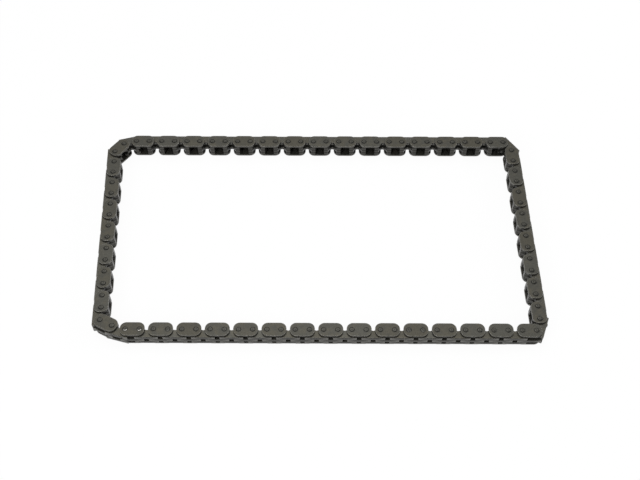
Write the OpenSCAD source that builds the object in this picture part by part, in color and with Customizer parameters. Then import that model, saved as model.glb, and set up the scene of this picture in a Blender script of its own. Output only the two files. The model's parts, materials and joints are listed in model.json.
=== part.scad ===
// Oil pump drive chain: an endless inverted-tooth (silent) chain, laid flat as a rectangle.
// Every pin stands along Z. A link lies along its own X axis with its teeth towards +Y,
// which is the inside of the loop. Outer links carry the guide plates and the pins, inner
// links run on them, and the two kinds alternate all the way round.

/* [Chain] */
// Distance between neighbouring pins
pitch = 6.35; // [6.1:0.05:8]
// Links in the straight run of each long side, so many that its middle link is an outer one
long_links = 29; // [17:4:29]
// Links in the straight run of each short side, an odd number
short_links = 15; // [9:2:15]

/* [Layout] */
// Lean of the two short sides from square, in degrees
lean = 2.25; // [0:0.25:4]
// Heading of the front right corner link, in degrees from the front side
front_right_heading = 70.5; // [64:0.5:78]
// Heading of the back right corner link
back_right_heading = 126.5; // [123:0.5:132]
// Heading of the first link of the front left corner
front_left_heading = 333.5; // [326:0.5:338]
// Heading of the second link of the front left corner
front_left_exit_heading = 344.5; // [338:0.5:350]

/* [Pins] */
// Diameter of a pin
pin_d = 2.3; // [1.8:0.05:2.7]
// How far a pin stands out of each guide plate
pin_stand = 0.15; // [0:0.05:0.4]
// Chamfer on the ends of a pin
pin_chamfer = 0.12; // [0.05:0.01:0.3]
// Diameter of the staking mark in the end of a pin
stake_d = 1.1; // [0.6:0.05:1.5]
// Depth of the staking mark
stake_depth = 0.2; // [0.05:0.05:0.4]

/* [Guide plates] */
// Thickness of a guide plate
guide_t = 1.0; // [0.7:0.05:1.4]
// Height of a guide plate across the pin line
guide_h = 6.7; // [6.2:0.1:7.2]
// Reach of a guide plate past its pin centres
guide_reach = 2.4; // [2.1:0.05:2.6]
// Corner radius of a guide plate
guide_corner = 2.85; // [1.4:0.05:3]

/* [Tooth plates] */
// Thickness of a tooth plate
tooth_t = 1.85; // [1.4:0.05:2.3]
// Distance from the pin line to the back of a tooth plate
back_offset = 3.75; // [3.4:0.05:4.1]
// Reach of a tooth plate past its pin centres
tooth_reach = 2.2; // [1.9:0.05:2.4]
// Corner radius at the back of a tooth plate
back_corner = 0.7; // [0.3:0.05:1.2]
// Distance from the pin line to the tip of a toe
toe_length = 3.2; // [2.8:0.05:3.6]
// Width of the flat tip of a toe, measured at its corners
toe_w = 2.1; // [1.6:0.05:2.4]
// Radius of the corners of a toe
toe_corner = 0.3; // [0.1:0.05:0.4]
// Angle of a toe's outer flank from the link's Y axis
flank_angle = 30; // [26:1:34]
// Radius where the outer flank meets the end of the plate
shoulder_r = 1.0; // [0.4:0.1:1.6]
// Height of the bottom of the crotch above the pin line
crotch_lift = 0; // [-0.2:0.05:0.3]
// Radius at the bottom of the crotch
crotch_r = 1.5; // [1.1:0.05:1.7]

/* [Fits] */
// Radial clearance between a pin and the plates that turn on it
running_gap = 0.04; // [0.02:0.01:0.08]
// Radial gap left between a pin and the plates that are pressed on it
press_gap = 0.01; // [0.005:0.005:0.02]
// Gap between neighbouring plates along the pins
side_gap = 0.05; // [0.03:0.01:0.1]

/* [Hidden] */
$fn = 64;
steel = [0.36, 0.35, 0.31];
pin_steel = [0.47, 0.46, 0.42];

// Heights of the layers, from the lowest pin end up
layer_step = tooth_t + side_gap;
lower_guide_z = pin_stand;
inner_low_z = lower_guide_z + guide_t + side_gap;
outer_mid_z = inner_low_z + layer_step;
inner_high_z = outer_mid_z + layer_step;
upper_guide_z = inner_high_z + layer_step;
pin_length = upper_guide_z + guide_t + pin_stand;
drill_over = 1;

// Link numbers at which each part of the loop starts, counted from 0 at the front left
front_start = 0;
front_right_start = front_start + long_links;
right_start = front_right_start + 1;
back_right_start = right_start + short_links;
back_start = back_right_start + 1;
back_left_start = back_start + long_links;
left_start = back_left_start + 2;
front_left_start = left_start + short_links;
link_count = front_left_start + 2;

// The long sides cancel each other round the loop, and so do the short ones, so the two
// links of the back left corner bridge what the other corner links leave open
function along(a) = [cos(a), sin(a)];
corner_sum = along(front_right_heading) + along(back_right_heading)
    + along(front_left_heading) + along(front_left_exit_heading);
bridge_heading = atan2(-corner_sum[1], -corner_sum[0]);
bridge_half_turn = acos(norm(corner_sum) / 2);

// Heading of each link, in degrees from the front side
headings = [
    for (i = [1 : long_links]) 0,
    front_right_heading,
    for (i = [1 : short_links]) 90 + lean,
    back_right_heading,
    for (i = [1 : long_links]) 180,
    bridge_heading - bridge_half_turn,
    bridge_heading + bridge_half_turn,
    for (i = [1 : short_links]) 270 + lean,
    front_left_heading,
    front_left_exit_heading
];

// Pin centres before centring: each is one pitch on from the last along its link
chain_points = [
    for (i = 0, at = [0, 0]; i < link_count; at = at + pitch * along(headings[i]), i = i + 1) at
];
xs = [for (at = chain_points) at[0]];
ys = [for (at = chain_points) at[1]];
middle = [(min(xs) + max(xs)) / 2, (min(ys) + max(ys)) / 2];
pins = [for (at = chain_points) at - middle];

// A straight run is split into groups of two links that move as one, outwards from its
// middle link. The middle link and these steps out from it hold a single link each.
single_steps = [5, 12];
function is_single(step, last) = step == last || len([for (s = single_steps) if (s == step) s]) > 0;
function steps_out(step, last) =
    step > last ? []
    : is_single(step, last) ? concat([[step, 1]], steps_out(step + 1, last))
    : concat([[step, 2]], steps_out(step + 2, last));
function run_groups(side, start, links) =
    let (half = (links - 1) / 2, steps = steps_out(1, half))
    concat(
        [for (i = [len(steps) - 1 : -1 : 0]) [side, start + half - steps[i][0] - steps[i][1] + 1, steps[i][1]]],
        [[side, start + half, 1]],
        [for (s = steps) [side, start + half + s[0], s[1]]]
    );
joining_link = front_start + (long_links - 1) / 2;
all_groups = concat(
    run_groups("front", front_start, long_links),
    [["front_right_corner", front_right_start, 1]],
    run_groups("right", right_start, short_links),
    [["back_right_corner", back_right_start, 1]],
    run_groups("back", back_start, long_links),
    [["back_left_corner", back_left_start, 2]],
    run_groups("left", left_start, short_links),
    [["front_left_corner", front_left_start, 2]]
);
groups = [for (g = all_groups) if (g[1] != joining_link) g];

// Node names, such as right_link_33 and right_links_31_32
function two_digits(n) = n < 10 ? str("0", n) : str(n);
function group_name(g) =
    g[2] == 1 ? str(g[0], "_link_", two_digits(g[1] + 1))
    : str(g[0], "_links_", two_digits(g[1] + 1), "_", two_digits(g[1] + 2));

// Exact outline round a convex, counter-clockwise row of circles [x, y, radius]
module wrap(circles) {
    n = len(circles);
    polygon([
        for (i = [0 : n - 1])
            let (
                a = circles[i],
                b = circles[(i + 1) % n],
                run = [b[0] - a[0], b[1] - a[1]],
                normal = along(atan2(run[1], run[0]) - acos((a[2] - b[2]) / norm(run)))
            )
            each [[a[0], a[1]] + a[2] * normal, [b[0], b[1]] + b[2] * normal]
    ]);
    for (c = circles)
        if (c[2] > 0)
            translate([c[0], c[1]]) circle(c[2]);
}

module pin_holes(gap) {
    for (side = [-1, 1])
        translate([side * pitch / 2, 0, -drill_over])
            cylinder(d = pin_d + 2 * gap, h = max(guide_t, tooth_t) + 2 * drill_over);
}

module guide_outline() {
    reach = pitch / 2 + guide_reach;
    x = reach - guide_corner;
    y = guide_h / 2 - guide_corner;
    wrap([
        [-x, -y, guide_corner], [x, -y, guide_corner],
        [x, y, guide_corner], [-x, y, guide_corner]
    ]);
}

module guide_plate() {
    color(steel)
        difference() {
            linear_extrude(guide_t) guide_outline();
            pin_holes(press_gap);
        }
}

// Centres of the corner circles of a toe, which stands over the pin
toe_y = toe_length - toe_corner;
toe_inner_x = pitch / 2 - toe_w / 2 + toe_corner;
toe_outer_x = pitch / 2 + toe_w / 2 - toe_corner;
// The shoulder circle touches the outer flank and the end of the plate
plate_end_x = pitch / 2 + tooth_reach;
shoulder_x = plate_end_x - shoulder_r;
shoulder_y = toe_y - ((shoulder_x - toe_outer_x) * cos(flank_angle) + shoulder_r - toe_corner)
    / sin(flank_angle);
// The crotch circle sits on the plate's middle line, and each inner flank touches it at its
// foot and the inner corner of a toe at its top
crotch_y = crotch_lift + crotch_r;
inner_run = [toe_inner_x, toe_y - crotch_y];
inner_flank = atan2(inner_run[1], inner_run[0]) + asin((crotch_r + toe_corner) / norm(inner_run));
flank_foot = [0, crotch_y] + crotch_r * along(inner_flank - 90);
flank_length = sqrt(pow(norm(inner_run), 2) - pow(crotch_r + toe_corner, 2));
function on_flank(share) = flank_foot + share * flank_length * along(inner_flank);

// One toe with the eye of its pin and the back behind it, out from halfway up its inner flank
module toe() {
    inner = on_flank(0.5);
    wrap([
        [inner[0], -back_offset, 0],
        [plate_end_x - back_corner, back_corner - back_offset, back_corner],
        [shoulder_x, shoulder_y, shoulder_r],
        [toe_outer_x, toe_y, toe_corner],
        [toe_inner_x, toe_y, toe_corner],
        [inner[0], inner[1], 0]
    ]);
}

// The plate from pin to pin, cut out between the two inner flanks and round the crotch
module web() {
    top = on_flank(1);
    difference() {
        translate([-pitch / 2, -back_offset])
            square([pitch, back_offset + on_flank(0.75)[1]]);
        wrap([[0, crotch_y, crotch_r], [top[0], top[1], 0], [-top[0], top[1], 0]]);
    }
}

module tooth_outline() {
    toe();
    mirror([1, 0]) toe();
    web();
}

module tooth_plate(gap) {
    color(steel)
        difference() {
            linear_extrude(tooth_t) tooth_outline();
            pin_holes(gap);
        }
}

module pin() {
    r = pin_d / 2;
    color(pin_steel)
        rotate_extrude()
            polygon([
                [0, stake_depth], [stake_d / 2, 0], [r - pin_chamfer, 0], [r, pin_chamfer],
                [r, pin_length - pin_chamfer], [r - pin_chamfer, pin_length],
                [stake_d / 2, pin_length], [0, pin_length - stake_depth]
            ]);
}

// Puts its children on link number i, with the link's middle at their origin
module on_link(i) {
    start = pins[i];
    end = pins[(i + 1) % link_count];
    translate([(start[0] + end[0]) / 2, (start[1] + end[1]) / 2, 0])
        rotate(headings[i])
            children();
}

module link_pin(side) {
    translate([side * pitch / 2, 0, 0]) pin();
}

module outer_link() {
    translate([0, 0, lower_guide_z]) guide_plate();
    translate([0, 0, outer_mid_z]) tooth_plate(press_gap);
    translate([0, 0, upper_guide_z]) guide_plate();
    link_pin(-1);
    link_pin(1);
}

module inner_link() {
    translate([0, 0, inner_low_z]) tooth_plate(running_gap);
    translate([0, 0, inner_high_z]) tooth_plate(running_gap);
}

// Links with an even number are outer links, and the ones between them are inner links
module link_group(g) {
    for (i = [g[1] : g[1] + g[2] - 1])
        on_link(i)
            if (i % 2 == 0)
                outer_link();
            else
                inner_link();
}

// The outer link that closes the loop, shown in its five pieces
module joining_link_upper_guide_plate() {
    on_link(joining_link) translate([0, 0, upper_guide_z]) guide_plate();
}

module joining_link_lower_guide_plate() {
    on_link(joining_link) translate([0, 0, lower_guide_z]) guide_plate();
}

module joining_link_tooth_plate() {
    on_link(joining_link) translate([0, 0, outer_mid_z]) tooth_plate(press_gap);
}

module joining_link_left_pin() {
    on_link(joining_link) link_pin(-1);
}

module joining_link_right_pin() {
    on_link(joining_link) link_pin(1);
}

joining_link_upper_guide_plate();
joining_link_lower_guide_plate();
joining_link_tooth_plate();
joining_link_left_pin();
joining_link_right_pin();
for (g = groups)
    link_group(g);
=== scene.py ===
import json
import math
import re

import bpy
import numpy as np
from bpy.props import FloatProperty, FloatVectorProperty, IntProperty, PointerProperty
from bpy.types import Operator, Panel, PropertyGroup
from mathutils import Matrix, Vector


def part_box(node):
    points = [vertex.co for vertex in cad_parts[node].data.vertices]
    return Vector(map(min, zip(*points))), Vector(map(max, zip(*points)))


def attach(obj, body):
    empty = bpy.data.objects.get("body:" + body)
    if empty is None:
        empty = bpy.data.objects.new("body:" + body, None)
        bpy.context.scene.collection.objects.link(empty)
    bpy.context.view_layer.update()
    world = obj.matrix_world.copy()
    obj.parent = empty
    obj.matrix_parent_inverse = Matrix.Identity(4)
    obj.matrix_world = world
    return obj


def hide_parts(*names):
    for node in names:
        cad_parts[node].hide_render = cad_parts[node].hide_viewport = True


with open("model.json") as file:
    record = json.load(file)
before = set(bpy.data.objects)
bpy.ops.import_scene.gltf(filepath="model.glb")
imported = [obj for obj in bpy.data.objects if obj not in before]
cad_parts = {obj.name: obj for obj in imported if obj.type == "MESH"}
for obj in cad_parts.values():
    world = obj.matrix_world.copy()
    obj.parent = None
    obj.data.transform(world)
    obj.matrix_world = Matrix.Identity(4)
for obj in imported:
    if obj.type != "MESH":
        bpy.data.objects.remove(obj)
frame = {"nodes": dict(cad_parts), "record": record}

bl_info = {
    "name": "Oil pump drive chain",
    "version": (1, 0, 0),
    "blender": (4, 5, 0),
    "location": "View3D > Sidebar > Chain",
    "description": "Dresses an inverted-tooth drive chain in stamped, oiled steel",
    "category": "Add Mesh",
}

MM = 0.001

# The chain's links and pins are read from the frame. A node that holds outer links is as high
# as the pins, whose ends are the highest vertices in it.
JOINING_PIECES = {
    "upper_guide": "joining_link_upper_guide_plate",
    "lower_guide": "joining_link_lower_guide_plate",
    "tooth": "joining_link_tooth_plate",
    "left_pin": "joining_link_left_pin",
    "right_pin": "joining_link_right_pin",
}
LINK_NODES = {
    node: [int(digits) for digits in re.findall(r"\d+", node)]
    for node in frame["nodes"]
    if node not in JOINING_PIECES.values()
}
LINK_COUNT = sum(len(numbers) for numbers in LINK_NODES.values()) + 1
JOINING_LINK = (set(range(1, LINK_COUNT + 1)) - set(sum(LINK_NODES.values(), []))).pop()
BODIES = frame["record"]["behaviour"]["bodies"]
BODY_OF = {node: body for body, nodes in BODIES.items() for node in nodes}


def vertices_of(node):
    """The node's vertices as an array of rows."""
    mesh = frame["nodes"][node].data
    found = np.empty(len(mesh.vertices) * 3)
    mesh.vertices.foreach_get("co", found)
    return found.reshape(-1, 3)


def pin_centres(nodes):
    """Plan centres of two pins: the highest rings of vertices, split across their longer direction."""
    rows = np.vstack([vertices_of(node) for node in nodes])
    ends = rows[rows[:, 2] > rows[:, 2].max() - 0.01 * MM][:, :2]
    middle = (ends.min(axis=0) + ends.max(axis=0)) / 2
    direction = np.linalg.svd(ends - ends.mean(axis=0))[2][0]
    side = (ends - middle) @ direction > 0
    return [(ends[s].min(axis=0) + ends[s].max(axis=0)) / 2 for s in (side, ~side)]


def all_pins():
    """Plan centre of the pin at the start of each link, in the order of the link numbers."""
    found = np.zeros((LINK_COUNT, 2))
    nodes_of = {n: [node] for node, numbers in LINK_NODES.items() for n in numbers if n % 2}
    nodes_of[JOINING_LINK] = [JOINING_PIECES["left_pin"], JOINING_PIECES["right_pin"]]
    for number, nodes in nodes_of.items():
        start, end = pin_centres(nodes)
        # The links run round the origin with the inside of the loop on their left.
        along = end - start
        inwards = -(start + end) / 2
        if along[0] * inwards[1] - along[1] * inwards[0] < 0:
            start, end = end, start
        found[number - 1] = start
        found[number % LINK_COUNT] = end
    return found


PINS = all_pins()
PITCH = float(np.linalg.norm(np.roll(PINS, -1, axis=0) - PINS, axis=1).mean())

# The joining link lies along X with its teeth towards +Y, so plates are measured from its boxes.
JOINING_MIDDLE = (PINS[JOINING_LINK - 1] + PINS[JOINING_LINK]) / 2


def height_range(node):
    """Heights of the node's lowest and highest points."""
    lowest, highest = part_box(node)
    return lowest.z, highest.z


PIN_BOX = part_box(JOINING_PIECES["left_pin"])
PIN_RADIUS = (PIN_BOX[1].x - PIN_BOX[0].x) / 2
PIN_ENDS = height_range(JOINING_PIECES["left_pin"])
TOOTH_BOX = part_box(JOINING_PIECES["tooth"])
GUIDE_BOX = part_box(JOINING_PIECES["upper_guide"])
LOWER_GUIDE = height_range(JOINING_PIECES["lower_guide"])
UPPER_GUIDE = height_range(JOINING_PIECES["upper_guide"])
OUTER_TOOTH = height_range(JOINING_PIECES["tooth"])
TOOTH_THICKNESS = OUTER_TOOTH[1] - OUTER_TOOTH[0]
LONE_INNER_LINKS = [
    node for node, numbers in LINK_NODES.items() if len(numbers) == 1 and numbers[0] % 2 == 0
]
INNER_STACK = height_range(LONE_INNER_LINKS[0])
INNER_TEETH = [
    (INNER_STACK[0], INNER_STACK[0] + TOOTH_THICKNESS),
    (INNER_STACK[1] - TOOTH_THICKNESS, INNER_STACK[1]),
]


def length(name, description, default):
    """A size that the sidebar shows in Blender's length unit."""
    return FloatProperty(
        name=name, description=description, default=default, min=0, unit="LENGTH", precision=5
    )


def colour(name, description, default):
    """A colour that the sidebar shows as a swatch."""
    return FloatVectorProperty(
        name=name, description=description, default=default, size=3, min=0, max=1, subtype="COLOR"
    )


class ChainToothPlates(PropertyGroup):
    """Sizes of the tooth plates"""

    back_corner: length("Back corner", "Radius at the back of a tooth plate", 0.3 * MM)
    toe_width: length("Toe width", "Width of the tip of a toe", 2.1 * MM)
    toe_corner: length("Toe corner", "Radius of the corners of a toe", 0.3 * MM)
    shoulder: length("Shoulder", "Radius between the flank and the end of the plate", 1.0 * MM)
    crotch_lift: length("Crotch lift", "Height of the crotch above the pin line", 0.0)
    crotch: length("Crotch", "Radius at the bottom of the crotch", 1.5 * MM)
    flank: FloatProperty(
        name="Flank angle",
        description="Angle of the outer flank from the toe's middle line",
        default=math.radians(30),
        subtype="ANGLE",
    )
    edge: length("Edge", "Rounding on the stamped edges", 0.1 * MM)
    rim: length("Rim", "Width of the worn rim along the edges", 0.24 * MM)
    eye_play: length("Eye play", "Radial play of a plate that turns on its pins", 0.04 * MM)


class ChainGuidePlates(PropertyGroup):
    """Sizes of the guide plates"""

    corner: length("Corner", "Corner radius of a guide plate", 2.85 * MM)
    edge: length("Edge", "Rounding on the stamped edges", 0.16 * MM)
    rim: length("Rim", "Width of the worn rim along the edges", 0.45 * MM)
    eye_play: length("Eye play", "Radial gap round a pressed pin", 0.01 * MM)
    countersink: length("Countersink", "Width of the countersink round a pin", 0.08 * MM)


class ChainPins(PropertyGroup):
    """Sizes of the ends of the pins"""

    stake: length("Stake radius", "Radius of the staking mark", 0.4 * MM)
    stake_depth: length("Stake depth", "Depth of the staking mark", 0.06 * MM)
    dome: length("Dome", "Drop from the staking mark to the rim of the end", 0.192 * MM)
    segments: IntProperty(name="Segments", description="Facets round a pin", default=20, min=8, max=64)


class ChainFinish(PropertyGroup):
    """Colours of the steel, of the oil on it and of the painted shadow round the pins"""

    plate: colour("Plate steel", "Oiled steel of the plates", (0.058, 0.0566, 0.0482))
    plate_warm: colour("Warm patches", "Browner patches in the plates' oxide", (0.0695, 0.065, 0.051))
    worn: colour("Worn edge", "Steel that the tumbling has bared along the edges", (0.2, 0.196, 0.18))
    sheared: colour("Sheared wall", "Burnished part of a stamped wall", (0.061, 0.0596, 0.0538))
    broken: colour("Broken wall", "Rough part of a stamped wall", (0.031, 0.0301, 0.0275))
    # Dark colour for covered sides and hollows, for the oil ring round each pin, and for the painted
    # shadow crescent beside the ring.
    oil_and_shadow: colour("Oil", "Dark oil in seams and round the pins", (0.014, 0.014, 0.0125))
    pin: colour("Pin steel", "Oiled steel of the pins", (0.054, 0.0527, 0.0455))


class ChainStage(PropertyGroup):
    """The floor and the camera"""

    ground: colour("Ground", "Colour of the pale floor", (0.9, 0.9, 0.9))
    elevation: FloatProperty(
        name="Elevation",
        description="Camera height above the horizon",
        default=math.radians(57.4),
        subtype="ANGLE",
    )
    heading: FloatProperty(
        name="Heading",
        description="Camera direction round the chain",
        default=math.radians(0.24),
        subtype="ANGLE",
    )
    distance: length("Distance", "Camera distance from the chain's middle", 487.9 * MM)
    focal_length: FloatProperty(
        name="Focal length", description="Focal length of the camera", default=58.2, unit="CAMERA"
    )


def arc(centre, radius, start, end, steps):
    """Points on a circle between two angles, with normals away from its centre."""
    angles = np.linspace(start, end, steps + 1)
    normals = np.stack([np.cos(angles), np.sin(angles)], axis=1)
    return np.asarray(centre) + radius * normals, normals


def joined(*pieces):
    """Runs of points and normals, one after the other, each with its polish."""
    points, normals = (np.vstack([run[i] for run, _ in pieces]) for i in (0, 1))
    polish = [np.broadcast_to(share, len(run[0])) for run, share in pieces]
    return points, normals, np.concatenate(polish)


DOWN = -math.pi / 2
UP = math.pi / 2

# Polish of a plate's wall: 1 on a corner that rubs. Below 0 the wall is painted darker, as at the ends
# of the crotch's hollow, whose middle is raised to a painted highlight stripe.
GUIDE_SIDE_POLISH, GUIDE_CORNER_POLISH = 0.7, 0.85
BACK_POLISH, BACK_CORNER_POLISH, SHOULDER_POLISH, TOE_POLISH = 0.3, 0.9, 0.1, 0.45
# Painted shade towards the ends of the crotch's hollow, and a painted highlight stripe at its middle.
HOLLOW_SHADE_AND_HIGHLIGHT = (-0.4, -0.35, -0.2, 0.1, 0.9)


def guide_half(sizes):
    """Right half of a guide plate's outline from its middle line below to its middle line above.

    Straight, quarter circle, straight end, quarter circle, straight.
    """
    half_length = (GUIDE_BOX[1].x - GUIDE_BOX[0].x) / 2
    half_height = (GUIDE_BOX[1].y - GUIDE_BOX[0].y) / 2
    x, y = half_length - sizes.corner, half_height - sizes.corner
    return joined(
        ((np.array([[0, -half_height]]), np.array([[0.0, -1.0]])), GUIDE_SIDE_POLISH),
        (arc((x, -y), sizes.corner, DOWN, 0, 6), GUIDE_CORNER_POLISH),
        (arc((x, y), sizes.corner, 0, UP, 6), GUIDE_CORNER_POLISH),
        ((np.array([[0, half_height]]), np.array([[0.0, 1.0]])), GUIDE_SIDE_POLISH),
    )


def tooth_half(sizes):
    """Right half of a tooth plate's outline, from the middle of its back round to the crotch.

    Each round stretch is a circle, and the straights between them are their common tangents: the
    back, the end of the plate, the outer flank, the tip of the toe and the inner flank, which
    touches the toe's circle and the crotch's on opposite sides.
    """
    back = JOINING_MIDDLE[1] - TOOTH_BOX[0].y
    toe_length = TOOTH_BOX[1].y - JOINING_MIDDLE[1]
    plate_end = (TOOTH_BOX[1].x - TOOTH_BOX[0].x) / 2
    toe_y = toe_length - sizes.toe_corner
    toe_in = np.array([PITCH / 2 - sizes.toe_width / 2 + sizes.toe_corner, toe_y])
    toe_out = np.array([PITCH / 2 + sizes.toe_width / 2 - sizes.toe_corner, toe_y])
    shoulder_x = plate_end - sizes.shoulder
    reach = (shoulder_x - toe_out[0]) * math.cos(sizes.flank) + sizes.shoulder - sizes.toe_corner
    shoulder_y = toe_y - reach / math.sin(sizes.flank)
    crotch = np.array([0, sizes.crotch_lift + sizes.crotch])
    run = toe_in - crotch
    lean = math.asin((sizes.crotch + sizes.toe_corner) / np.linalg.norm(run))
    inner = math.atan2(run[1], run[0]) + lean
    hollow, away = arc(crotch, sizes.crotch, inner + DOWN, DOWN, len(HOLLOW_SHADE_AND_HIGHLIGHT) - 1)
    back_centre = (plate_end - sizes.back_corner, sizes.back_corner - back)
    return joined(
        ((np.array([[0, -back]]), np.array([[0.0, -1.0]])), BACK_POLISH),
        (arc(back_centre, sizes.back_corner, DOWN, 0, 4), BACK_CORNER_POLISH),
        (arc((shoulder_x, shoulder_y), sizes.shoulder, 0, sizes.flank, 3), SHOULDER_POLISH),
        (arc(toe_out, sizes.toe_corner, sizes.flank, UP, 3), TOE_POLISH),
        (arc(toe_in, sizes.toe_corner, UP, inner + UP, 3), TOE_POLISH),
        ((hollow, -away), HOLLOW_SHADE_AND_HIGHLIGHT),
    )


SEAM_STEPS = 4  # stretches along a plate's middle line
BURIED = -0.35  # wear of a side that other plates cover, which the shader paints darker and less metallic
SHADOW_REACH = 0.65 * MM  # furthest reach of the dark colour round a pin: the painted shadow crescent on the side towards -Y
RING_REACH = 0.02 * MM  # its least reach, on the +Y side: a thin dark ring of oil at the pin's edge
SHADOW_EDGE = 2.2  # how steeply the dark ring and the painted shadow end
TO_PIN, ALONG_PIN = 0.4, 0.9  # normal of the rounding at an eye


def plate(half, heights, eye, edge, rim, sink, buried):
    """A flat plate with two round eyes, as vertices, normals, faces, edge wear and depth.

    Each half of the plate is a surface over two parameters: the angle round its eye, sampled where
    the outline has its points, and the way round the plate's cross-section, from the eye's lower
    edge out along the underside, up the wall, back along the top and down through the eye. A level
    on each side carries the furthest reach of the painted shadow round a pin. The halves meet on
    the middle line, where they have no wall. The sides named in buried lie against other plates.
    """
    outline, outwards, polish = half
    low, high = heights
    under, over = (BURIED if side in buried else 0.0 for side in ("under", "over"))
    count = len(outline)
    ring = outline - rim * outwards
    seam = np.linspace(ring[-1], ring[0], SEAM_STEPS + 1)[1:-1]
    centre = np.array([PITCH / 2, 0])
    ring = np.vstack([ring, seam])
    spokes = ring - centre
    spokes /= np.linalg.norm(spokes, axis=1)[:, None]
    total = len(ring)

    def level(plan, z, normal_plan, normal_z, wear, depth):
        flat = np.broadcast_to(normal_plan, plan.shape)
        return (
            np.column_stack([plan, np.full(len(plan), z)]),
            np.column_stack([flat, np.full(len(plan), normal_z)]),
            np.broadcast_to(wear, len(plan)),
            np.full(len(plan), depth),
        )

    inset = outline - edge * outwards
    levels = [
        level(centre + eye * spokes, low + sink, -TO_PIN * spokes, -ALONG_PIN, 0.0, 0.0),
        level(centre + (eye + sink) * spokes, low, 0.0, -1.0, under, 0.0),
        level(centre + (eye + SHADOW_REACH) * spokes, low, 0.0, -1.0, under, 0.0),
        level(ring, low, 0.0, -1.0, under, 0.0),
        level(inset, low, 0.0, -1.0, 1.0, 0.0),
        level(outline, low + edge, outwards, 0.0, polish, 0.0),
        level(outline, high - edge, outwards, 0.0, polish, 1.0),
        level(inset, high, 0.0, 1.0, 1.0, 1.0),
        level(ring, high, 0.0, 1.0, over, 1.0),
        level(centre + (eye + SHADOW_REACH) * spokes, high, 0.0, 1.0, over, 1.0),
        level(centre + (eye + sink) * spokes, high, 0.0, 1.0, over, 1.0),
        level(centre + eye * spokes, high - sink, -TO_PIN * spokes, ALONG_PIN, 0.0, 1.0),
    ]
    starts = np.cumsum([0] + [len(rows[0]) for rows in levels])
    open_bands = range(3, 8)  # from the ring below, over the wall, to the ring above
    faces = []
    for near in range(len(levels)):
        here = np.arange(count - 1 if near in open_bands else total)
        after = (here + 1) % total
        a, b = starts[near], starts[(near + 1) % len(levels)]
        faces.append(np.stack([a + here, a + after, b + after, b + here], axis=1))
    faces = np.vstack(faces)
    vertices, normals, wear, depth = (np.concatenate(rows) for rows in zip(*levels, strict=True))
    mirror = np.array([-1, 1, 1])
    return weld(
        np.vstack([vertices, vertices * mirror]),
        np.vstack([normals, normals * mirror]),
        np.vstack([faces, faces[:, ::-1] + len(vertices)]),
        np.tile(wear, 2),
        np.tile(depth, 2),
    )


WELD_REACH = 1e-4 * MM  # how close two vertices are that count as one


def weld(vertices, normals, faces, wear, depth):
    """Makes vertices that lie in one place one, so that the two halves of a plate close."""
    rounded = np.round(vertices / WELD_REACH).astype(np.int64)
    _, first, group = np.unique(rounded, axis=0, return_index=True, return_inverse=True)
    return vertices[first], normals[first], group.reshape(-1)[faces], wear[first], depth[first]


def pin_shape(sizes):
    """A pin as a profile turned round its axis: a staked, domed end, the shaft, and the same end below.

    The staking mark is a shallow hollow of four rings. Beside it, where s goes from 0 at the mark
    to 1 at the rim, the end's radius is stake + (PIN_RADIUS - stake) * sin(s * pi / 2) and its
    height is -dome * s * s.
    """
    low, high = PIN_ENDS
    rise = np.linspace(0, 1, 5)[1:]
    land = PIN_RADIUS - sizes.stake
    end = np.array(
        [
            [0.1 * sizes.stake, -sizes.stake_depth],
            [0.5 * sizes.stake, -0.7 * sizes.stake_depth],
            [0.9 * sizes.stake, -0.1 * sizes.stake_depth],
            [1.1 * sizes.stake, 0],
            *np.column_stack([sizes.stake + land * np.sin(UP * rise), -sizes.dome * rise**2]),
        ]
    )
    profile = np.vstack([end + [0, high], end[::-1] * [1, -1] + [0, low]])
    slope = np.gradient(profile, axis=0)
    slope /= np.linalg.norm(slope, axis=1)[:, None]
    angles = np.linspace(0, 2 * math.pi, sizes.segments, endpoint=False)
    round_x, round_y = np.cos(angles), np.sin(angles)
    radius, z = profile.T

    def turned(out, along):
        columns = [np.outer(out, round_x), np.outer(out, round_y), np.outer(along, np.ones(len(angles)))]
        return np.stack(columns, axis=2).reshape(-1, 3)

    vertices = turned(radius, z)
    normals = turned(-slope[:, 1], slope[:, 0])
    here = np.arange(sizes.segments)
    after = (here + 1) % sizes.segments
    ring = np.arange(len(profile) - 1)[:, None] * sizes.segments
    below = ring + sizes.segments
    faces = np.stack([ring + here, below + here, below + after, ring + after], axis=2).reshape(-1, 4)
    last = (len(profile) - 1) * sizes.segments
    caps = [here.tolist(), (last + here[::-1]).tolist()]
    fraction = np.repeat(radius / PIN_RADIUS, sizes.segments)
    return vertices, normals, faces, caps, fraction


def oil_and_shadow_round_pins(vertices, pins):
    """Share of oil and of painted shadow at each vertex, from its distance to the edge of the nearest
    pin.

    It is a thin ring of oil round the pin, with a broad painted shadow crescent on the side towards
    -Y, where the pin would cast its shade. Where s goes from 0 on the +Y side to 1 on the -Y side,
    its reach rises from the least reach to the furthest reach as s * s.
    """
    offsets = vertices[:, None, :2] - np.asarray(pins)[None]
    offsets = offsets[np.arange(len(vertices)), np.linalg.norm(offsets, axis=2).argmin(axis=1)]
    distance = np.linalg.norm(offsets, axis=1)
    share = 0.5 - 0.5 * offsets[:, 1] / np.maximum(distance, 1e-6)
    reach = RING_REACH + (SHADOW_REACH - RING_REACH) * share**2
    return np.clip(SHADOW_EDGE * (1 - np.abs(distance - PIN_RADIUS) / reach), 0, 1)


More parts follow.
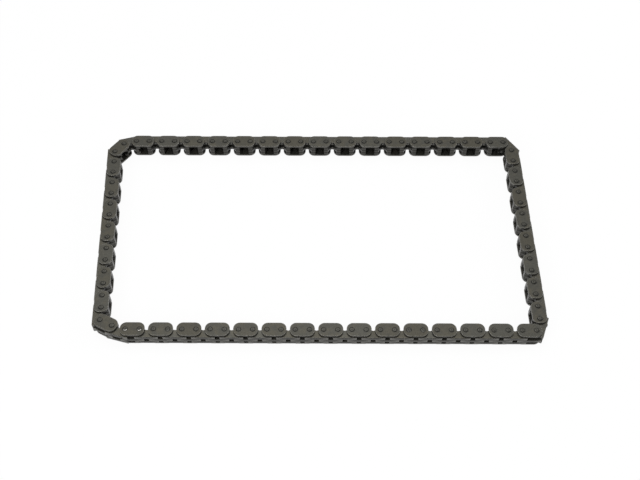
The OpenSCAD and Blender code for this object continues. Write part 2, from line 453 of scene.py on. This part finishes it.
class Assembly:
    """Collects the pieces of one node, each in its place, and makes them one mesh."""

    def __init__(self):
        self.vertices, self.normals, self.faces, self.slots = [], [], [], []
        self.wear, self.depth, self.oil_and_shadow, self.tone = [], [], [], []
        self.count = 0

    def add(self, vertices, normals, faces, caps, slot, wear, depth, oil_and_shadow, tone):
        """Adds a piece. Faces are rows of four corners, and caps have more."""
        self.vertices.append(vertices)
        self.normals.append(normals)
        shifted = (faces + self.count).tolist() + [[i + self.count for i in cap] for cap in caps]
        self.faces += shifted
        self.slots += [slot] * len(shifted)
        self.wear.append(wear)
        self.depth.append(depth)
        self.oil_and_shadow.append(oil_and_shadow)
        self.tone.append(np.full(len(vertices), tone))
        self.count += len(vertices)

    def made(self, name, materials):
        """Makes the mesh object, with its normals and the numbers that the materials read."""
        mesh = bpy.data.meshes.new(name)
        mesh.from_pydata(np.vstack(self.vertices), [], self.faces)
        for material in materials:
            mesh.materials.append(material)
        mesh.polygons.foreach_set("material_index", self.slots)
        mesh.polygons.foreach_set("use_smooth", np.ones(len(self.faces), bool))
        kinds = {"wear": self.wear, "depth": self.depth, "oil_and_shadow": self.oil_and_shadow, "tone": self.tone}
        for label, values in kinds.items():
            layer = mesh.attributes.new(label, "FLOAT", "POINT")
            layer.data.foreach_set("value", np.concatenate(values).astype(np.float32))
        mesh.validate()
        mesh.update()
        mesh.normals_split_custom_set_from_vertices(np.vstack(self.normals))
        piece = bpy.data.objects.new(name, mesh)
        bpy.context.scene.collection.objects.link(piece)
        return piece


def on_link(number, vertices, normals):
    """Turns and moves a shape from the origin, where its teeth point to +Y, to the link's place."""
    start, end = PINS[number - 1], PINS[number % LINK_COUNT]
    along = (end - start) / np.linalg.norm(end - start)
    turn = np.array([[along[0], along[1], 0], [-along[1], along[0], 0], [0, 0, 1]])
    middle = np.append((start + end) / 2, 0)
    return vertices @ turn + middle, normals @ turn


class Reading:
    """A number or colour that varies over a surface. Expressions on it add their own nodes."""

    def __init__(self, sheet, socket):
        self.sheet, self.socket = sheet, socket

    def __add__(self, other):
        return self.sheet.math("ADD", self, other)

    def __sub__(self, other):
        return self.sheet.math("SUBTRACT", self, other)

    def __rsub__(self, other):
        return self.sheet.math("SUBTRACT", other, self)

    def __mul__(self, other):
        return self.sheet.math("MULTIPLY", self, other)

    __radd__ = __add__
    __rmul__ = __mul__


class Sheet:
    """The node sheet of one material."""

    def __init__(self, name):
        self.material = bpy.data.materials.new(name)
        self.material.use_nodes = True
        self.tree = self.material.node_tree
        self.tree.nodes.clear()

    def node(self, kind, settings=None, **inputs):
        """Adds a node, sets its settings, and then its inputs by name, or as _0, _1 by number."""
        made = self.tree.nodes.new(kind)
        for key, value in (settings or {}).items():
            setattr(made, key, value)
        for key, value in inputs.items():
            numbered = re.fullmatch(r"_(\d+)", key)
            socket = made.inputs[int(numbered[1]) if numbered else key.replace("_", " ")]
            if isinstance(value, Reading):
                self.tree.links.new(value.socket, socket)
            else:
                socket.default_value = value
        return made

    def math(self, operation, first, second=0.0):
        made = self.node("ShaderNodeMath", {"operation": operation}, _0=first, _1=second)
        return Reading(self, made.outputs[0])

    def attribute(self, name):
        made = self.node("ShaderNodeAttribute", {"attribute_name": name})
        return Reading(self, made.outputs["Fac"])

    def place(self, scale=(1, 1, 1)):
        """Object coordinates, stretched along the axes."""
        point = self.node("ShaderNodeTexCoord").outputs["Object"]
        made = self.node("ShaderNodeMapping", Vector=Reading(self, point), Scale=scale)
        return Reading(self, made.outputs[0])

    def noise(self, grain, detail=2.0, roughness=0.5, at=None):
        """Noise from 0 to 1 with spots about grain metres wide."""
        made = self.node(
            "ShaderNodeTexNoise",
            Vector=at or self.place(),
            Scale=1 / grain,
            Detail=detail,
            Roughness=roughness,
        )
        return Reading(self, made.outputs["Fac"])

    def step(self, value, start, end):
        """0 below start and 1 above end, with a smooth rise between."""
        made = self.node(
            "ShaderNodeMapRange",
            {"interpolation_type": "SMOOTHSTEP"},
            Value=value,
            From_Min=start,
            From_Max=end,
        )
        return Reading(self, made.outputs[0])

    def blend(self, share, first, second):
        """The second colour where share is 1, and the first where it is 0."""
        opaque = [shade if isinstance(shade, Reading) else (*shade, 1.0) for shade in (first, second)]
        made = self.node("ShaderNodeMix", {"data_type": "RGBA"}, _0=share, _6=opaque[0], _7=opaque[1])
        return Reading(self, made.outputs[2])

    def bump(self, height, strength, distance):
        made = self.node("ShaderNodeBump", Height=height, Strength=strength, Distance=distance)
        return Reading(self, made.outputs[0])

    def steel(self, **inputs):
        """Ends the sheet in one shader that has these inputs, and gives the material."""
        return self.finished(self.node("ShaderNodeBsdfPrincipled", **inputs))

    def finished(self, shader):
        self.node("ShaderNodeOutputMaterial", Surface=Reading(self, shader.outputs[0]))
        return self.material


def plate_steel(name, finish, sheen):
    """Tumbled, oiled steel: mottled oxide on the faces and bared edges.

    The wall is burnished in the lower part, where the die sheared it, and rough above, where it
    broke. Depth is 0 on the underside and 1 on the top, so depth * (1 - depth) tells the wall.
    Covered sides and the ends of a crotch's hollow are painted darker, and the middle of the
    hollow carries a painted highlight. Round each pin lies a thin ring of oil with a painted
    shadow crescent on the side towards -Y.
    """
    sheet = Sheet(name)
    wear, depth, tone = (sheet.attribute(label) for label in ("wear", "depth", "tone"))
    wall_mask = sheet.step(depth * (1 - depth), 0.001, 0.01)
    patches = sheet.step(sheet.noise(2.2 * MM, 3) + 0.35 * (tone - 0.5), 0.38, 0.62)
    specks = sheet.noise(0.16 * MM, 3, 0.6)
    pits = sheet.step(specks, 0.6, 0.7)
    clouds = sheet.step(sheet.noise(0.55 * MM, 3, 0.6), 0.35, 0.7)
    face = sheet.blend(patches, finish.plate, finish.plate_warm)
    face = sheet.blend(0.34 * (clouds + pits), face, tuple(0.55 * c for c in finish.plate))
    # Round each pin: a thin ring of oil and a painted shadow crescent on the side towards -Y.
    ring_and_shadow = sheet.attribute("oil_and_shadow") * (1 - wall_mask)
    # Covered sides and the ends of a crotch's hollow are painted darker and less metallic.
    buried = sheet.step(0 - wear, 0.05, 0.35)
    # The darkening joins that with the oil ring and the painted shadow round the pins.
    darkening = sheet.math("MAXIMUM", 0.5 * buried, 0.92 * ring_and_shadow)
    rubbed = sheet.step(wear + 0.9 * (sheet.noise(0.5 * MM, 3) - 0.5), 0.72, 1.05)
    upright = sheet.place((1, 1, 0.12))
    streaks = sheet.noise(0.12 * MM, 2, 0.6, upright)
    burnished = 1 - sheet.step(depth + 0.25 * (sheet.noise(0.6 * MM, 2) - 0.5), 0.5, 0.62)
    wall = sheet.blend(burnished, finish.broken, finish.sheared)
    bared = sheet.step(wear + 0.4 * (streaks - 0.5), 0.45, 0.95)
    wall = sheet.blend(0.5 * bared, wall, finish.worn)
    coloured = sheet.blend(0.6 * rubbed, face, finish.worn)
    coloured = sheet.blend(wall_mask, coloured, wall)
    coloured = sheet.blend(darkening, coloured, finish.oil_and_shadow)
    rough_face = 0.46 + 0.22 * (specks - 0.5) + 0.1 * (tone - 0.5) - 0.12 * rubbed
    rough_wall = 0.5 - 0.16 * burnished + 0.2 * (streaks - 0.5) - 0.1 * rubbed
    rough = rough_face * (1 - wall_mask) + rough_wall * wall_mask
    relief = sheet.noise(0.22 * MM, 3, 0.55) * (1 - wall_mask) + wall_mask * streaks + 0.4 * pits
    return sheet.steel(
        Base_Color=coloured,
        Metallic=0.85 - 0.75 * buried,
        Roughness=rough - 0.05 * sheen - 0.16 * ring_and_shadow,
        Normal=sheet.bump(relief, 0.35, 0.02 * MM),
    )


def pin_steel(finish):
    """Ground steel with fine turning rings on the ends, darker in the staking mark, with a painted
    shadow crescent on the side towards -Y and, on some pins, a painted glint there.
    """
    sheet = Sheet("ground_pin_steel")
    radius, tone = sheet.attribute("wear"), sheet.attribute("tone")
    grain = sheet.noise(0.1 * MM, 2, 0.6)
    rings = sheet.math("SINE", radius * 90.0)
    marked = 1 - sheet.step(radius, 0.3, 0.55)
    mottled = 0.3 * marked + 0.3 * sheet.step(grain, 0.5, 0.75)
    shade = sheet.blend(mottled, finish.pin, tuple(0.5 * c for c in finish.pin))
    ring_and_shadow = sheet.attribute("oil_and_shadow")
    # The side of the pin's end towards -Y, where the painted shadow lies and the painted glints go.
    near_side = sheet.step(ring_and_shadow, 0.6, 1.0) * (1 - sheet.step(radius, 0.86, 0.94))
    painted_glint = sheet.step(tone, 1.2, 1.8) * near_side
    # A painted shadow crescent on the side towards -Y. On some pins a painted glint follows: bright
    # steel colour, with lower roughness so that it also catches the glint lamp.
    shade = sheet.blend(0.92 * ring_and_shadow, shade, finish.oil_and_shadow)
    shade = sheet.blend(painted_glint, shade, tuple(3 * c for c in finish.worn))
    return sheet.steel(
        Base_Color=shade,
        Metallic=0.9,
        Roughness=0.36 + 0.16 * (grain - 0.5) + 0.06 * tone - 0.3 * painted_glint,
        Normal=sheet.bump(grain + 0.15 * rings, 0.25, 0.015 * MM),
    )


def tone_of(number, layer):
    """A shade between 0 and 1 for one piece, which looks random and is always the same.

    It is the fraction of a large multiple of the sine of an angle that grows with both numbers.
    """
    mixed = math.sin(number * 12.9898 + layer * 78.233) * 43758.5453
    return mixed - math.floor(mixed)


TOOTH_SLOT, GUIDE_SLOT, PIN_SLOT = range(3)
LOWER_LAYER, UPPER_LAYER, MIDDLE_LAYER, PIN_LAYER = 0, 1, 3, 9

# Tones above 1.2 mark pins that carry a painted glint, a bright spot on the side towards -Y: the first
# two fully, the others a little.
GLINT_PINS = {1: 2.0, 2: 2.0, 4: 1.38, 21: 1.38, 22: 1.38}

# On the links of the long side towards -Y the oil ring and the painted shadow round the pins are fainter
# than on the rest.
FAINT_SHADOW_LINKS = range(1, 30)
FAINT_SHADOW_SHARE = 0.7


class ChainShapes:
    """The three shapes that the chain repeats, and the materials that they wear."""

    def __init__(self, scene):
        tooth, guide = scene.chain_tooth_plates, scene.chain_guide_plates
        self.materials = [
            plate_steel("tumbled_tooth_steel", scene.chain_finish, 1.0),
            plate_steel("tumbled_guide_steel", scene.chain_finish, 0.0),
            pin_steel(scene.chain_finish),
        ]
        tooth_outline, guide_outline = tooth_half(tooth), guide_half(guide)
        turning = PIN_RADIUS + tooth.eye_play
        pressed = PIN_RADIUS + guide.eye_play
        tooth_edges = (tooth.edge, tooth.rim, tooth.edge)
        guide_edges = (guide.edge, guide.rim, guide.countersink)
        self.outer_tooth = plate(tooth_outline, OUTER_TOOTH, pressed, *tooth_edges, ("under", "over"))
        self.inner_teeth = [
            plate(tooth_outline, heights, turning, *tooth_edges, (side,))
            for heights, side in zip(INNER_TEETH, ("over", "under"), strict=True)
        ]
        self.guides = [
            plate(guide_outline, heights, pressed, *guide_edges, (side,))
            for heights, side in ((LOWER_GUIDE, "over"), (UPPER_GUIDE, "under"))
        ]
        self.pin = pin_shape(scene.chain_pins)

    def lay_plate(self, assembly, number, layer, shape, slot):
        vertices, normals, faces, wear, depth = shape
        vertices, normals = on_link(number, vertices, normals)
        # Thin oil ring and painted shadow crescent round the link's pins, fainter on the long side
        # towards -Y.
        oil_and_shadow = oil_and_shadow_round_pins(vertices, [PINS[number - 1], PINS[number % LINK_COUNT]])
        oil_and_shadow = oil_and_shadow * (FAINT_SHADOW_SHARE if number in FAINT_SHADOW_LINKS else 1.0)
        assembly.add(vertices, normals, faces, [], slot, wear, depth, oil_and_shadow, tone_of(number, layer))

    def lay_pin(self, assembly, number):
        vertices, normals, faces, caps, fraction = self.pin
        centre = PINS[(number - 1) % LINK_COUNT]
        vertices = vertices + np.append(centre, 0)
        # The pin's oil ring and painted shadow, fainter on the long side towards -Y except on pins with
        # a painted glint.
        faint_shadow = number - 1 in FAINT_SHADOW_LINKS and number not in GLINT_PINS
        oil_and_shadow = oil_and_shadow_round_pins(vertices, [centre]) * (FAINT_SHADOW_SHARE if faint_shadow else 1.0)
        # A tone above 1.2 gives the pin a painted glint.
        tone = GLINT_PINS.get(number, tone_of(number, PIN_LAYER))
        assembly.add(vertices, normals, faces, caps, PIN_SLOT, fraction, fraction, oil_and_shadow, tone)

    def lay_link(self, assembly, number):
        """Lays all pieces of a link.

        An odd link is an outer one, with guide plates, a tooth plate and two pins. An even one has
        two tooth plates.
        """
        if number % 2:
            self.lay_plate(assembly, number, MIDDLE_LAYER, self.outer_tooth, TOOTH_SLOT)
            for layer, shape in enumerate(self.guides):
                self.lay_plate(assembly, number, layer, shape, GUIDE_SLOT)
            self.lay_pin(assembly, number)
            self.lay_pin(assembly, number + 1)
        else:
            for layer, shape in enumerate(self.inner_teeth):
                self.lay_plate(assembly, number, layer, shape, TOOTH_SLOT)


def settle(piece, node):
    """Puts a finished piece in the place of its node, on the body that the node belongs to."""
    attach(piece, BODY_OF[node])
    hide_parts(node)


class CHAIN_OT_links(Operator):
    """Makes every link of the chain except the joining link"""

    bl_idname = "chain.links"
    bl_label = "Links"

    def execute(self, context):
        shapes = ChainShapes(context.scene)
        for node, numbers in LINK_NODES.items():
            assembly = Assembly()
            for number in numbers:
                shapes.lay_link(assembly, number)
            settle(assembly.made(f"finished_{node}", shapes.materials), node)
        return {"FINISHED"}


class CHAIN_OT_joining_link(Operator):
    """Makes the five pieces of the joining link"""

    bl_idname = "chain.joining_link"
    bl_label = "Joining link"

    def execute(self, context):
        shapes = ChainShapes(context.scene)
        plates = (
            ("tooth", MIDDLE_LAYER, shapes.outer_tooth, TOOTH_SLOT, "tooth_plate_steel"),
            ("lower_guide", LOWER_LAYER, shapes.guides[0], GUIDE_SLOT, "guide_plate_steel"),
            ("upper_guide", UPPER_LAYER, shapes.guides[1], GUIDE_SLOT, "guide_plate_steel"),
        )
        for kind, layer, shape, slot, record_slot in plates:
            node = JOINING_PIECES[kind]
            assembly = Assembly()
            shapes.lay_plate(assembly, JOINING_LINK, layer, shape, slot)
            settle(assembly.made(f"finished_{node}", shapes.materials), node)
        for kind, number in (("left_pin", JOINING_LINK), ("right_pin", JOINING_LINK + 1)):
            node = JOINING_PIECES[kind]
            assembly = Assembly()
            shapes.lay_pin(assembly, number)
            settle(assembly.made(f"finished_{node}", shapes.materials), node)
        return {"FINISHED"}


# Place, size and power of each lamp, in metres and watts. All point at the chain's middle.
LAMPS = {
    "key": ((-0.1, 0.75, 2.0), 1.4, 20.0),
    "fill": ((-0.5, -0.5, 0.6), 0.4, 1.5),
    "side": ((1.0, 0.2, 0.45), 0.4, 4.0),
    "glint": ((-0.34, -0.5, 0.33), 0.12, 0.8),
}
SKY_STRENGTH = 0.45
FLOOR_HALF_WIDTH = 6.0
FLOOR_WHITE = 0.95  # the rest of the floor is matte and shows the chain's shadow
AIM_RIGHT, AIM_BACK = 13.71, 7.45  # from the first pin to the camera's aim, in pitches


def pale_floor(stage):
    """White to the camera and in reflections, with a trace of the chain's own shadow."""
    sheet = Sheet("pale_floor")
    path = sheet.node("ShaderNodeLightPath")
    camera, glossy = (Reading(sheet, path.outputs[ray]) for ray in ("Is Camera Ray", "Is Glossy Ray"))
    seen = sheet.math("MAXIMUM", camera, glossy)
    matte = sheet.node("ShaderNodeBsdfDiffuse", Color=(*stage.ground, 1))
    white = sheet.node("ShaderNodeEmission", Color=(1, 1, 1, 1), Strength=1.0)
    matte, white = (Reading(sheet, shader.outputs[0]) for shader in (matte, white))
    return sheet.finished(sheet.node("ShaderNodeMixShader", _0=FLOOR_WHITE * seen, _1=matte, _2=white))


class CHAIN_OT_stage(Operator):
    """Makes the floor, the lights and the camera"""

    bl_idname = "chain.stage"
    bl_label = "Stage"

    def execute(self, context):
        stage = context.scene.chain_stage
        self.lay_floor(context, stage)
        self.light(context)
        self.place_camera(context, stage)
        return {"FINISHED"}

    def lay_floor(self, context, stage):
        half = FLOOR_HALF_WIDTH
        corners = [(-half, -half, 0), (half, -half, 0), (half, half, 0), (-half, half, 0)]
        mesh = bpy.data.meshes.new("floor")
        mesh.from_pydata(corners, [], [(0, 1, 2, 3)])
        mesh.materials.append(pale_floor(stage))
        floor = bpy.data.objects.new("floor", mesh)
        context.scene.collection.objects.link(floor)

    def light(self, context):
        scene = context.scene
        world = bpy.data.worlds.new("studio")
        scene.world = world
        world.use_nodes = True
        sky = world.node_tree.nodes["Background"]
        sky.inputs["Color"].default_value = (1, 1, 1, 1)
        sky.inputs["Strength"].default_value = SKY_STRENGTH
        for name, (place, size, power) in LAMPS.items():
            data = bpy.data.lights.new(name, "AREA")
            data.size = size
            data.energy = power
            lamp = bpy.data.objects.new(name, data)
            lamp.location = place
            lamp.rotation_euler = (-Vector(place)).to_track_quat("-Z", "Y").to_euler()
            scene.collection.objects.link(lamp)

    def place_camera(self, context, stage):
        scene = context.scene
        data = bpy.data.cameras.new("camera")
        data.lens = stage.focal_length
        data.sensor_width = 36
        data.clip_start, data.clip_end = 0.01, 20
        camera = bpy.data.objects.new("camera", data)
        first = PINS[0]
        target = Vector((first[0] + AIM_RIGHT * PITCH, first[1] + AIM_BACK * PITCH, PIN_ENDS[1]))
        back = Vector(
            (
                math.sin(stage.heading) * math.cos(stage.elevation),
                -math.cos(stage.heading) * math.cos(stage.elevation),
                math.sin(stage.elevation),
            )
        )
        camera.location = target + stage.distance * back
        camera.rotation_euler = (-back).to_track_quat("-Z", "Y").to_euler()
        scene.collection.objects.link(camera)
        scene.camera = camera


class CHAIN_PT_sidebar(Panel):
    """Lists the chain's pieces and their sizes in the sidebar"""

    bl_label = "Oil pump drive chain"
    bl_space_type = "VIEW_3D"
    bl_region_type = "UI"
    bl_category = "Chain"

    def draw(self, context):
        for operator in OPERATORS:
            self.layout.operator(operator.bl_idname)
        for name, group in GROUPS.items():
            box = self.layout.box()
            for prop in group.__annotations__:
                box.prop(getattr(context.scene, name), prop)


GROUPS = {
    "chain_tooth_plates": ChainToothPlates,
    "chain_guide_plates": ChainGuidePlates,
    "chain_pins": ChainPins,
    "chain_finish": ChainFinish,
    "chain_stage": ChainStage,
}
OPERATORS = (CHAIN_OT_links, CHAIN_OT_joining_link, CHAIN_OT_stage)


def register():
    for made in (*GROUPS.values(), *OPERATORS, CHAIN_PT_sidebar):
        bpy.utils.register_class(made)
    for name, group in GROUPS.items():
        setattr(bpy.types.Scene, name, PointerProperty(type=group))


def unregister():
    for name in GROUPS:
        delattr(bpy.types.Scene, name)
    for made in (CHAIN_PT_sidebar, *reversed(OPERATORS), *reversed(GROUPS.values())):
        bpy.utils.unregister_class(made)


def main():
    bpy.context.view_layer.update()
    register()
    bpy.ops.chain.links()
    bpy.ops.chain.joining_link()
    bpy.ops.chain.stage()
    bpy.context.scene.view_settings.view_transform = "Standard"


if __name__ == "__main__":
    main()
